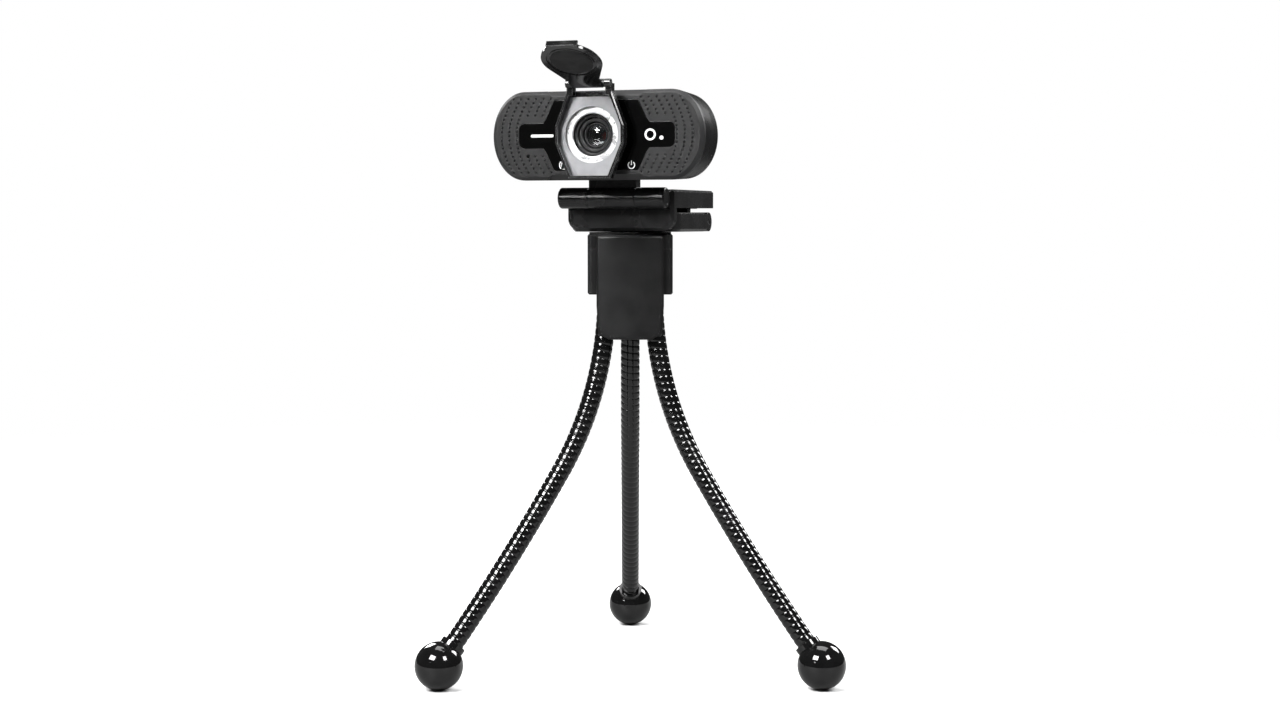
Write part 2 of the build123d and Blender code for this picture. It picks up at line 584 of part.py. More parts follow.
# ---------------------------------------------------------------- clip leg
def clip_leg():
    """The leg, folded flat under the base, with its outer hinge knuckles, pad and threaded insert."""
    neck_y = LEG_HINGE_Y - 7.0
    right = [
        (LEG_HALF_W, LEG_FRONT),
        (LEG_HALF_W, neck_y - 2.2),
        (LEG_NECK_HALF_W, neck_y),
        (LEG_NECK_HALF_W, LEG_HINGE_Y),
    ]
    plan = outline(mirrored(right))
    plan = fillet([v for v in plan.vertices() if v.Y < LEG_FRONT + 0.1], 3.6)
    leg = extrude(Plane.XY.offset(LEG_BOTTOM) * plan, amount=LEG_TOP - LEG_BOTTOM)
    under = leg.edges().filter_by_position(Axis.Z, LEG_BOTTOM - 0.01, LEG_BOTTOM + 0.01)
    under = [e for e in under if e.center().Y < LEG_HINGE_Y - 0.5]
    leg = soften(leg, under, (1.1, 0.8, 0.5), chamfer)
    leg += x_rod(LEG_HINGE_R, -LEG_NECK_HALF_W, LEG_NECK_HALF_W, LEG_HINGE_Y, LEG_HINGE_Z)
    top_trim = block(-30, 30, LEG_HINGE_Y - 5, LEG_HINGE_Y + 6, LEG_HINGE_Z + LEG_HINGE_R, LEG_TOP + 3)
    leg -= top_trim
    slot = LEG_LUG_HALF_W + 0.25
    leg -= block(-slot, slot, LEG_HINGE_Y - 5.6, LEG_HINGE_Y + 6, LEG_BOTTOM - 1, LEG_TOP + 3)
    leg -= x_rod(LEG_PIN_R + RUNNING, -30, 30, LEG_HINGE_Y, LEG_HINGE_Z)
    rim = 1.0
    pad_right = [
        (LEG_HALF_W - rim, LEG_FRONT + rim),
        (LEG_HALF_W - rim, neck_y - 2.6),
        (LEG_NECK_HALF_W - rim, neck_y - 0.4),
        (LEG_NECK_HALF_W - rim, LEG_HINGE_Y - 5.2),
        (slot + 0.8, LEG_HINGE_Y - 5.2),
        (slot + 0.8, LEG_HINGE_Y - 6.6),
    ]
    pad_plan = outline(mirrored(pad_right))
    pad_plan = fillet([v for v in pad_plan.vertices() if v.Y < LEG_FRONT + rim + 0.1], 2.8)
    leg -= extrude(Plane.XY.offset(LEG_TOP - 0.6) * pad_plan, amount=3)
    PARTS["leg_pad"] = extrude(Plane.XY.offset(LEG_TOP - 0.59) * pad_plan, amount=PAD_T)
    leg -= z_rod(INSERT_R, LEG_BOTTOM - 1, LEG_BOTTOM + 6.2)
    PARTS["clip_leg"] = leg
    insert = z_rod(INSERT_R - 0.01, LEG_BOTTOM + 0.02, LEG_BOTTOM + 6.1)
    for turn in (LEG_BOTTOM + 2.0, LEG_BOTTOM + 4.0):
        insert -= z_rod(INSERT_R + 1, turn - 0.25, turn + 0.25) - z_rod(INSERT_R - 0.5, turn - 1, turn + 1)
    PARTS["thread_insert"] = insert - z_rod(STUD_R + RUNNING, LEG_BOTTOM - 1, LEG_BOTTOM + 5.6)
    pin_end = LEG_NECK_HALF_W - 0.4
    PARTS["leg_pin"] = x_rod(LEG_PIN_R, -pin_end, pin_end, LEG_HINGE_Y, LEG_HINGE_Z)
    washers = []
    for side in (-1, 1):
        x0, x1 = sorted((side * (LEG_LUG_HALF_W + 0.03), side * (LEG_LUG_HALF_W + 0.22)))
        ring = x_rod(3.2, x0, x1, LEG_HINGE_Y, LEG_HINGE_Z)
        washers.append(ring - x_rod(LEG_PIN_R + RUNNING, -20, 20, LEG_HINGE_Y, LEG_HINGE_Z))
    PARTS["leg_washers"] = Compound(children=washers)


# ---------------------------------------------------------------- tripod head
TRIPOD = Rot(0, 0, TRIPOD_YAW)


def head_sketch():
    """The head's plan: a wide front that narrows to the rear leg."""
    right = [(HEAD_HALF_W, HEAD_FRONT), (HEAD_HALF_W, 1.5), (7.6, HEAD_REAR)]
    plan = outline(mirrored(right))
    return fillet(plan.vertices(), 1.6)


def root_places(azimuth):
    """Where a leg's axis meets the head, in the tripod's own frame. Azimuth 0 is the tripod's front."""
    a = math.radians(azimuth)
    return ROOT_R * math.sin(a), -ROOT_R * math.cos(a)


def tripod_head():
    """The head in two mouldings, its front cover, the camera stud, the pad under the webcam, and screws."""
    seam = HEAD_TOP - HEAD_CAP_T
    cap = extrude(Plane.XY.offset(seam + 0.02) * head_sketch(), amount=HEAD_CAP_T - 0.02)
    rim = cap.edges().filter_by_position(Axis.Z, HEAD_TOP - 0.01, HEAD_TOP + 0.01)
    cap = soften(cap, rim, (0.6, 0.3), chamfer)
    cap -= z_rod(STUD_R + 0.02, seam - 1, HEAD_TOP + 1)

    body = extrude(Plane.XY.offset(CURVE_TOP) * head_sketch(), amount=seam - CURVE_TOP)
    low = body.edges().filter_by_position(Axis.Z, CURVE_TOP - 0.01, CURVE_TOP + 0.01)
    body = soften(body, low, (0.6, 0.3), chamfer)
    body -= extrude(Plane.XY.offset(seam - 4.0) * RegularPolygon(5.6, 6), amount=5)
    for azimuth in LEG_AZIMUTHS.values():
        x, y = root_places(azimuth)
        body -= z_rod(NECK_R + 1.0, CURVE_TOP - 1, CURVE_TOP + SOCKET_DEPTH, x, y)
    screw_spots = [(-12.8, 2.2), (12.8, 2.2)]
    for x, y in screw_spots:
        body -= z_rod(1.1, CURVE_TOP - 1, seam + 1, x, y)
        body -= z_rod(2.1, CURVE_TOP - 1, CURVE_TOP + 1.6, x, y)
        cap -= z_rod(1.1, seam - 1, seam + 4, x, y)

    tongue_top = HEAD_TOP - 0.3
    front = HEAD_FRONT - TONGUE_T
    taper = TONGUE_HALF_W - 0.9
    plan = outline(
        [
            (-TONGUE_HALF_W, tongue_top),
            (TONGUE_HALF_W, tongue_top),
            (TONGUE_HALF_W, TONGUE_BOTTOM + 15),
            (taper, TONGUE_BOTTOM + 1.4),
            (-taper, TONGUE_BOTTOM + 1.4),
            (-TONGUE_HALF_W, TONGUE_BOTTOM + 15),
        ]
    )
    front_plane = Plane(origin=(0, HEAD_FRONT - 0.02, 0), x_dir=(1, 0, 0), z_dir=(0, -1, 0))
    tongue = extrude(front_plane * plan, amount=TONGUE_T - 0.02)
    bow_r = 60.0
    bow = Pos(0, front + bow_r, (tongue_top + TONGUE_BOTTOM) / 2) * Cylinder(bow_r, 80)
    tongue &= bow
    scallop_r = 5.2
    for azimuth in (-60.0, 60.0):
        x = root_places(azimuth)[0] * 1.28
        scallop = Pos(x, HEAD_FRONT, TONGUE_BOTTOM - 2.6) * Rot(90, 0, 0) * Cylinder(scallop_r, 30)
        tongue -= scallop
    outer = tongue.edges().filter_by_position(Axis.Y, front - 0.1, HEAD_FRONT - 1.2)
    tongue = soften(tongue, outer, (1.4, 1.0, 0.7, 0.4))

    hex_head = extrude(Plane.XY.offset(seam - 3.8) * RegularPolygon(5.5, 6), amount=3.78)
    stud = z_rod(STUD_R, seam - 3.8, LEG_BOTTOM + 5.2) + hex_head
    tip = stud.edges().filter_by_position(Axis.Z, LEG_BOTTOM + 5.15, LEG_BOTTOM + 5.25)
    stud = soften(stud, tip, (0.6,), chamfer)
    pad_plan = offset(head_sketch(), amount=-0.7)
    pad = extrude(Plane.XY.offset(HEAD_TOP + 0.01) * pad_plan, amount=HEAD_PAD_T - 0.01)
    pad -= z_rod(STUD_R + 0.1, HEAD_TOP - 1, HEAD_TOP + 3)
    screws = []
    for x, y in screw_spots:
        shank = z_rod(1.05, CURVE_TOP + 0.3, seam + 3.6, x, y)
        screws.append(shank + z_rod(1.95, CURVE_TOP + 0.3, CURVE_TOP + 1.55, x, y))
    PARTS["head_cap"] = TRIPOD * cap
    PARTS["head_body"] = TRIPOD * body
    PARTS["head_front_cover"] = TRIPOD * tongue
    PARTS["camera_stud"] = TRIPOD * stud
    PARTS["head_pad"] = TRIPOD * pad
    PARTS["head_screws"] = TRIPOD * Compound(children=screws)


# ---------------------------------------------------------------- tripod legs
def leg_point(s):
    """Distance out from the axis, height, and lean in degrees, at a length s down a leg's centreline."""
    bend = math.radians(BEND_DEG)
    if s <= SECOND_HINGE:
        lean = s / CURVE_RADIUS
        out = ROOT_R + CURVE_RADIUS * (1 - math.cos(lean))
        return out, CURVE_TOP - CURVE_RADIUS * math.sin(lean), math.degrees(lean)
    out, height, _ = leg_point(SECOND_HINGE)
    radius = LOWER_LEN / (math.radians(FOOT_DEG) - bend)
    lean = bend + (s - SECOND_HINGE) / radius
    out += radius * (math.cos(bend) - math.cos(lean))
    height -= radius * (math.sin(lean) - math.sin(bend))
    return out, height, math.degrees(lean)


LEG_LEN = SECOND_HINGE + LOWER_LEN


def leg_tube(start, end, radius=NECK_R):
    """The gooseneck between two lengths down the centreline, in the plane x out, z up. It is one arc."""
    points = [leg_point(s) for s in (start, (start + end) / 2, end)]
    path = ThreePointArc(*[(p[0], 0, p[1]) for p in points])
    lean = math.radians(points[0][2])
    plane = Plane(
        origin=(points[0][0], 0, points[0][1]), z_dir=(math.sin(lean), 0, -math.cos(lean)), x_dir=(0, 1, 0)
    )
    return sweep(plane * Circle(radius), path=path)


def leg_ball(s, radius):
    """A sphere centred on the leg's centreline."""
    out, height, _ = leg_point(s)
    return Pos(out, 0, height) * Sphere(radius)


def leg_segments():
    """One leg, set out in the plane x out, z up: the fixed root and three segments between ball hinges."""
    hinges = [FIRST_HINGE, SECOND_HINGE, THIRD_HINGE]
    root = leg_tube(0.0, FIRST_HINGE) + leg_ball(FIRST_HINGE, NECK_R)
    root += z_rod(NECK_R, CURVE_TOP, CURVE_TOP + SOCKET_DEPTH - 0.5, ROOT_R)
    pieces = [root]
    ends = [SECOND_HINGE, THIRD_HINGE, LEG_LEN - FOOT_R + 4.2]
    for hinge, end in zip(hinges, ends):
        piece = leg_tube(hinge + CUP_START, end) - leg_ball(hinge, NECK_R + 0.1)
        if end in hinges:
            piece += leg_ball(end, NECK_R)
        pieces.append(piece)
    return pieces


def tripod_legs():
    """Three legs round the head, each with its ball foot and the ferrule in its socket."""
    roots, ferrules = [], []
    root, upper, middle, lower = leg_segments()
    out, height, lean = leg_point(LEG_LEN)
    foot = Pos(out, 0, height) * Sphere(FOOT_R)
    collar = Pos(out, 0, height) * Rot(0, -lean, 0) * Pos(0, 0, FOOT_R - 0.2) * Cylinder(NECK_R + 1.2, 2.2)
    foot += collar
    bore = Pos(out, 0, height) * Rot(0, -lean, 0) * Pos(0, 0, FOOT_R - 4.3 + 10) * Cylinder(NECK_R + 0.06, 20)
    foot -= bore
    for name, azimuth in LEG_AZIMUTHS.items():
        turn = Rot(0, 0, TRIPOD_YAW + azimuth - 90)
        PARTS[f"{name}_leg_upper"] = turn * upper
        PARTS[f"{name}_leg_middle"] = turn * middle
        PARTS[f"{name}_leg_lower"] = turn * lower
        PARTS[f"{name}_foot"] = turn * foot
        roots.append(turn * root)
        tube = z_rod(NECK_R + 0.95, CURVE_TOP + 0.2, CURVE_TOP + SOCKET_DEPTH - 0.1, ROOT_R)
        ferrules.append(turn * (tube - z_rod(NECK_R + 0.03, CURVE_TOP - 1, CURVE_TOP + 30, ROOT_R)))
    PARTS["leg_roots"] = Compound(children=roots)
    PARTS["leg_ferrules"] = Compound(children=ferrules)


front_bezel()
face_window()
back_shell()
board_screws()
cable_gland()
lens_boss()
lens_ring()
lens_parts()
electronics()
cover_frame()
cover_lid()
camera_stem()
clip_base()
tilt_hardware()
clip_leg()
tripod_head()
tripod_legs()
export_all()
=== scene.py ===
"""The looks of the webcam on its tripod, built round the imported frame. Metres, +Z up, lens towards -Y."""

import json
import math

import bpy
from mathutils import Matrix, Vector


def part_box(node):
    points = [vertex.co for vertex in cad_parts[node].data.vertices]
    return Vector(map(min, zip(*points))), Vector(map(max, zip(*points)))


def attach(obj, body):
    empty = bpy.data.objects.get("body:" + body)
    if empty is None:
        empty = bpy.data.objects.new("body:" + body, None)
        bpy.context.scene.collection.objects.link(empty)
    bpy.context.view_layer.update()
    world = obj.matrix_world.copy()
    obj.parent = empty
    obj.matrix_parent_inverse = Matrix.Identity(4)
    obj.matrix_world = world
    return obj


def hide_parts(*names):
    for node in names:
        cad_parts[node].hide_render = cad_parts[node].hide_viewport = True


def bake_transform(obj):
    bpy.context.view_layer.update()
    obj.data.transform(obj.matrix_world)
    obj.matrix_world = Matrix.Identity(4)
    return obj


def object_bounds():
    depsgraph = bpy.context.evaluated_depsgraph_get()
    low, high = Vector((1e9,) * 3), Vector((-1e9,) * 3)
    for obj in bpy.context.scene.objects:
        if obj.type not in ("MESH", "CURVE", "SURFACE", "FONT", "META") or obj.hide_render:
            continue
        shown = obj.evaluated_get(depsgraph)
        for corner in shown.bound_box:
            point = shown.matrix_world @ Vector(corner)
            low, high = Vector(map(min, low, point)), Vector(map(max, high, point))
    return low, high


MM = 0.001
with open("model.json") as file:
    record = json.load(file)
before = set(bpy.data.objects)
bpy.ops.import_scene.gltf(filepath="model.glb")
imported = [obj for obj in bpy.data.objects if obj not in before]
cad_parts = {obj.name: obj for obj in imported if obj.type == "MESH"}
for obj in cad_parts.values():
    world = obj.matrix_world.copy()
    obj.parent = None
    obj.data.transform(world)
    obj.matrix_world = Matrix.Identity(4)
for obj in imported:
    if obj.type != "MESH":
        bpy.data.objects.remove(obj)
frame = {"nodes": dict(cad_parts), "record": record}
cad_low, cad_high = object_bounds()

# ---------------------------------------------------------------- places read from the frame
window_low, window_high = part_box("face_window")
FACE_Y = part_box("front_bezel")[0].y
LENS_Z = (window_low.z + window_high.z) / 2
CENTRE = (cad_low + cad_high) / 2

# ---------------------------------------------------------------- the legs' centrelines, as in the CAD
# Each leg runs straight down inside the head, then out in a tight curve, then nearly straight to a ball.
TRIPOD_YAW = math.radians(20)
LEG_AZIMUTHS = {"left": math.radians(-60), "right": math.radians(60), "rear": math.radians(180)}
LEG_PARTS = ("upper", "middle", "lower")
ROOT_OUT = 11.0 * MM  # from the stud's axis to a leg's root
CURVE_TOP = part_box("head_body")[0].z
CURVE_RADIUS = 129.0 * MM
BEND = math.radians(33.5)  # lean where the tight curve ends
FOOT_LEAN = math.radians(39.6)
LOWER_LEN = 91.5 * MM  # from the tight curve's end to the ball's centre
FIRST_HINGE = 23.5 * MM  # distances down the leg
SECOND_HINGE = CURVE_RADIUS * BEND
THIRD_HINGE = SECOND_HINGE + 45.0 * MM
HINGES = (FIRST_HINGE, SECOND_HINGE, THIRD_HINGE)
LEG_LEN = SECOND_HINGE + LOWER_LEN
LOWER_RADIUS = LOWER_LEN / (FOOT_LEAN - BEND)

# ---------------------------------------------------------------- material kit
NOISE_LOW, NOISE_HIGH = 0.35, 0.65  # most of a noise node's values lie between these
NOISE_DETAIL = 3.0
SMUDGE_DETAIL = 5.0
GRAIN_DETAIL = 2.0
GRAIN_DEPTH = 0.12  # as a share of the grain's size
LINE_DETAIL = 4.0
LINE_DEPTH = 0.2  # as a share of the turned lines' pitch
BEVEL_SAMPLES = 4
WORN_AND_LIT, UNWORN_AND_UNLIT = 0.8, 0.995  # cosines between the rounded and the flat normal, on an edge and off it
WEAR_AND_HIGHLIGHT_PATCH_MM = 1.2
WEAR_AND_HIGHLIGHT_LEAST = 0.45  # what patchiness leaves of the lighter edge tone, wear and painted highlight
FRONT_NORMAL = -0.97  # the normal's Y is below this on a face that looks forward
PIT_NORMAL = -0.9  # and above this on the wall of a small hole
FLANK_NORMAL = -0.8  # and above this on a chamfer or side
MIX_FIRST, MIX_SECOND, MIX_RESULT = 6, 7, 2  # the colour sockets of a Mix node


class Look:
    """One procedural material: a Principled shader with colour, roughness and bump built up in steps."""

    def __init__(self, name, colour, roughness, metallic=0.0, **sockets):
        self.material = bpy.data.materials.new(name)
        self.material.use_nodes = True
        self.tree = self.material.node_tree
        self.shader = self.tree.nodes["Principled BSDF"]
        self.shader.inputs["Base Color"].default_value = (*colour, 1.0)
        self.shader.inputs["Roughness"].default_value = roughness
        self.shader.inputs["Metallic"].default_value = metallic
        for socket, value in sockets.items():
            self.shader.inputs[socket.replace("_", " ")].default_value = value
        self.colour = colour
        self.roughness = roughness
        self.place = self.add("ShaderNodeTexCoord").outputs["Object"]
        self.colour_out = None
        self.height_normal = None

    def add(self, kind, **settings):
        """A new node, with its settings."""
        node = self.tree.nodes.new(kind)
        for key, value in settings.items():
            setattr(node, key, value)
        return node

    def join(self, source, target):
        """A link from an output socket to an input socket."""
        self.tree.links.new(source, target)

    def feed(self, value, target):
        """An input socket gets a link from an output socket, or a plain value."""
        if isinstance(value, bpy.types.NodeSocket):
            self.join(value, target)
        else:
            target.default_value = value

    def noise(self, size_mm, detail=NOISE_DETAIL):
        """A noise value in the shared frame, with features of about a size in millimetres."""
        node = self.add("ShaderNodeTexNoise")
        node.inputs["Scale"].default_value = 1.0 / (size_mm * MM)
        node.inputs["Detail"].default_value = detail
        self.join(self.place, node.inputs["Vector"])
        return node.outputs["Fac"]

    def spread(self, value, low, high, from_low=NOISE_LOW, from_high=NOISE_HIGH):
        """A value mapped smoothly from one range to another."""
        node = self.add("ShaderNodeMapRange", interpolation_type="SMOOTHSTEP")
        self.join(value, node.inputs["Value"])
        ends = {"From Min": from_low, "From Max": from_high, "To Min": low, "To Max": high}
        for socket, number in ends.items():
            node.inputs[socket].default_value = number
        return node.outputs["Result"]

    def multiply(self, first, second):
        """The product of two values."""
        node = self.add("ShaderNodeMath", operation="MULTIPLY")
        self.join(first, node.inputs[0])
        self.join(second, node.inputs[1])
        return node.outputs["Value"]

    def vector_math(self, operation, *vectors):
        """A Vector Math node, fed with output sockets or plain vectors."""
        node = self.add("ShaderNodeVectorMath", operation=operation)
        for vector, socket in zip(vectors, node.inputs):
            self.feed(vector, socket)
        return node

    def mix(self, factor, first, second):
        """A colour between two; each is an output socket or a colour."""
        node = self.add("ShaderNodeMix", data_type="RGBA")
        self.join(factor, node.inputs["Factor"])
        for socket, colour in ((MIX_FIRST, first), (MIX_SECOND, second)):
            if isinstance(colour, tuple):
                colour = (*colour, 1.0)
            self.feed(colour, node.inputs[socket])
        return node.outputs[MIX_RESULT]

    def tinted(self, share, tint):
        """Another colour over the one so far, by a share from 0 to 1."""
        self.colour_out = self.mix(share, self.colour_out or self.colour, tint)
        return self

    def mottle(self, amount, size_mm):
        """Uneven colour, as moulded plastic or metal has."""
        uneven = self.spread(self.noise(size_mm), 0, 1)
        self.colour_out = self.mix(uneven, scaled(self.colour, 1 - amount), scaled(self.colour, 1 + amount))
        return self

    def smudge(self, amount, size_mm):
        """Uneven roughness, as handling leaves."""
        uneven = self.noise(size_mm, SMUDGE_DETAIL)
        value = self.spread(uneven, self.roughness - amount, self.roughness + amount)
        self.join(value, self.shader.inputs["Roughness"])
        return self

    def bump(self, value, strength, height_mm):
        """A surface normal from a height value, on top of what is there already."""
        node = self.add("ShaderNodeBump")
        node.inputs["Strength"].default_value = strength
        node.inputs["Distance"].default_value = height_mm * MM
        self.join(value, node.inputs["Height"])
        if self.height_normal:
            self.join(self.height_normal, node.inputs["Normal"])
        self.height_normal = node.outputs["Normal"]
        return self

    def grain(self, size_mm, strength):
        """The fine sparkle of a textured mould."""
        return self.bump(self.noise(size_mm, GRAIN_DETAIL), strength, size_mm * GRAIN_DEPTH)

    def flat_normal(self):
        """The surface's own normal, without edges or bump."""
        return self.add("ShaderNodeNewGeometry").outputs["Normal"]

    def along_y(self, vector):
        """The front-to-back part of a vector."""
        split = self.add("ShaderNodeSeparateXYZ")
        self.join(vector, split.inputs["Vector"])
        return split.outputs["Y"]

    def from_axis(self):
        """The distance from the lens axis, which runs along Y."""
        centred = self.vector_math("SUBTRACT", self.place, (0, 0, LENS_Z))
        flat = self.vector_math("MULTIPLY", centred.outputs["Vector"], (1, 0, 1))
        return self.vector_math("LENGTH", flat.outputs["Vector"]).outputs["Value"]

    def edges(self, radius_mm, tint, share=0.7):
        """Softly rounded edges, lighter in patches: partly wear, partly painted highlight. It comes before
        any bump.
        """
        bevel = self.add("ShaderNodeBevel", samples=BEVEL_SAMPLES)
        bevel.inputs["Radius"].default_value = radius_mm * MM
        self.height_normal = bevel.outputs["Normal"]
        likeness = self.vector_math("DOT_PRODUCT", self.height_normal, self.flat_normal())
        worn_and_lit = self.spread(likeness.outputs["Value"], share, 0, WORN_AND_LIT, UNWORN_AND_UNLIT)
        patches = self.spread(self.noise(WEAR_AND_HIGHLIGHT_PATCH_MM), WEAR_AND_HIGHLIGHT_LEAST, 1)
        return self.tinted(self.multiply(worn_and_lit, patches), tint)

    def circles(self, pitch_mm, strength):
        """Fine turned lines round the lens axis."""
        lines = self.add("ShaderNodeTexNoise", noise_dimensions="1D")
        lines.inputs["Scale"].default_value = 1 / (pitch_mm * MM)
        lines.inputs["Detail"].default_value = LINE_DETAIL
        self.join(self.from_axis(), lines.inputs["W"])
        return self.bump(lines.outputs["Fac"], strength, pitch_mm * LINE_DEPTH)

    def fading(self, outer, start_mm, end_mm):
        """Another colour away from the lens axis."""
        return self.tinted(self.spread(self.from_axis(), 0, 1, start_mm * MM, end_mm * MM), outer)

    def flank_sheen(self, tint):
        """A painted sheen: a lighter tone on the chamfers and sides, which don't face the front."""
        facing = self.along_y(self.flat_normal())
        return self.tinted(self.spread(facing, 0, 1, FRONT_NORMAL, FLANK_NORMAL), tint)

    def pit_shadows(self, depth_mm, tint):
        """Painted shade: a near-black tone on the bottoms of the small holes in the front."""
        depth = depth_mm * MM
        forward = self.spread(self.along_y(self.flat_normal()), 1, 0, FRONT_NORMAL, PIT_NORMAL)
        deep = self.spread(self.along_y(self.place), 0, 1, FACE_Y + depth / 2, FACE_Y + depth)
        return self.tinted(self.multiply(forward, deep), tint)

    def done(self):
        """Links what the steps made to the shader, and gives the material."""
        if self.colour_out:
            self.join(self.colour_out, self.shader.inputs["Base Color"])
        if self.height_normal:
            self.join(self.height_normal, self.shader.inputs["Normal"])
        return self.material


def scaled(colour, factor):
    """A colour made darker or lighter."""
    return tuple(min(1.0, c * factor) for c in colour)


def grey(value, tint=0.02):
    """A neutral colour, by default with a trace of blue."""
    return (value, value, value * (1 + tint))


# ---------------------------------------------------------------- kinds of material
SOFT_GLOSS = 0.3  # the specular level of matt plastics
DOT_DARK_MM = 0.5  # from this depth down, the bezel's 0.6 mm deep holes get the full painted shade
PAINTED_PIT_SHADOW = 0.0003
PAINTED_RED_GLINT = (0.2, 0.01, 0.006)
FILTER_DARK = (0.003, 0.002, 0.002)
BOARD_GREEN = (0.02, 0.12, 0.05)
TRACK_MM = 4
TRACK_COLOURS = {
    "Color1": (0.018, 0.11, 0.045, 1),
    "Color2": (0.022, 0.14, 0.06, 1),
    "Mortar": (0.05, 0.2, 0.08, 1),
}


def moulded(name, shade, roughness, grain_mm, grain, edge_wear_and_highlight, edge_mm=0.35, painted_flank_sheen=None):
    """Moulded plastic with a fine texture and lighter edges, partly wear and partly a painted highlight."""
    look = Look(name, grey(shade), roughness, Specular_IOR_Level=SOFT_GLOSS)
    look.mottle(amount=0.14, size_mm=7.0).smudge(amount=roughness * 0.12, size_mm=11.0)
    # a painted sheen on the chamfers and sides, then painted shade in the bottoms of the small holes
    if painted_flank_sheen:
        look.flank_sheen(grey(painted_flank_sheen)).pit_shadows(DOT_DARK_MM, grey(PAINTED_PIT_SHADOW))
    return look.edges(edge_mm, grey(edge_wear_and_highlight)).grain(grain_mm, grain).done()


def polished(name, shade, roughness, edge_wear_and_highlight=0.03, edge_share=0.5):
    """Gloss plastic with a faint waviness, the odd smudge, and lighter edges, partly wear and partly a
    painted highlight.
    """
    look = Look(name, grey(shade), roughness, Coat_Weight=0.3, Coat_Roughness=0.04)
    look.mottle(amount=0.2, size_mm=5.0).smudge(amount=roughness * 0.5, size_mm=9.0)
    look.edges(radius_mm=0.25, tint=grey(edge_wear_and_highlight), share=edge_share)
    return look.bump(look.noise(size_mm=6.0, detail=1.0), strength=0.12, height_mm=0.05).done()


def metal(name, colour, roughness, pitch_mm, strength, metallic):
    """Silvery metal or metal paint with fine lines round the lens axis."""
    look = Look(name, colour, roughness, metallic)
    look.mottle(amount=0.05, size_mm=4.0).smudge(amount=0.05, size_mm=3.0)
    look.edges(radius_mm=0.2, tint=scaled(colour, 1.25))
    return look.circles(pitch_mm, strength).done()


def turned(name, colour, roughness):
    """Small steel or brass hardware."""
    look = Look(name, colour, roughness, metallic=1.0)
    look.mottle(amount=0.15, size_mm=2.0).smudge(amount=0.1, size_mm=1.5)
    look.edges(radius_mm=0.15, tint=scaled(colour, 1.3))
    return look.grain(size_mm=0.2, strength=0.25).done()


def soft_rubber(name, shade):
    """Matt rubber."""
    look = Look(name, grey(shade), roughness=0.82, Sheen_Weight=0.08, Sheen_Roughness=0.5)
    look.mottle(amount=0.2, size_mm=3.0).smudge(amount=0.1, size_mm=5.0)
    look.edges(radius_mm=0.2, tint=grey(shade * 2.2), share=0.5)
    return look.grain(size_mm=0.35, strength=0.45).done()


def clear_glass(name, colour, roughness):
    """Glass or clear plastic."""
    look = Look(name, colour, roughness, Transmission_Weight=1.0, IOR=1.52)
    look.smudge(amount=roughness * 0.6, size_mm=2.0)
    return look.bump(look.noise(size_mm=3.0, detail=1.0), strength=0.02, height_mm=0.02).done()


def filter_with_painted_glint(name):
    """The lens's filter: dark, with a painted red glint round its middle."""
    look = Look(name, PAINTED_RED_GLINT, roughness=0.2, Specular_IOR_Level=SOFT_GLOSS)
    look.mottle(amount=0.2, size_mm=1.5).smudge(amount=0.05, size_mm=1.0)
    return look.fading(FILTER_DARK, start_mm=0.4, end_mm=1.4).done()


def image_sensor(name):
    """The sensor's dark violet silicon."""
    look = Look(name, (0.1, 0.08, 0.14), roughness=0.12, metallic=0.9)
    return look.mottle(amount=0.3, size_mm=1.2).smudge(amount=0.05, size_mm=1.0).done()


def circuit(name):
    """A green board with faint copper tracks under the lacquer."""
    look = Look(name, BOARD_GREEN, roughness=0.35, Coat_Weight=0.4)
    tracks = look.add("ShaderNodeTexBrick")
    tracks.inputs["Scale"].default_value = 1 / (TRACK_MM * MM)
    for socket, colour in TRACK_COLOURS.items():
        tracks.inputs[socket].default_value = colour
    upright = look.add("ShaderNodeMapping")
    upright.inputs["Rotation"].default_value = (math.radians(90), 0, 0)
    look.join(look.place, upright.inputs["Vector"])
    look.join(upright.outputs["Vector"], tracks.inputs["Vector"])
    look.colour_out = tracks.outputs["Color"]
    look.smudge(amount=0.1, size_mm=2.0)
    return look.bump(tracks.outputs["Fac"], strength=0.3, height_mm=0.05).done()


def painted(name, shade):
    """White print or paint."""
    look = Look(name, grey(shade, tint=0.0), roughness=0.45)
    look.mottle(amount=0.06, size_mm=0.8).smudge(amount=0.1, size_mm=1.0)
    return look.grain(size_mm=0.15, strength=0.2).done()


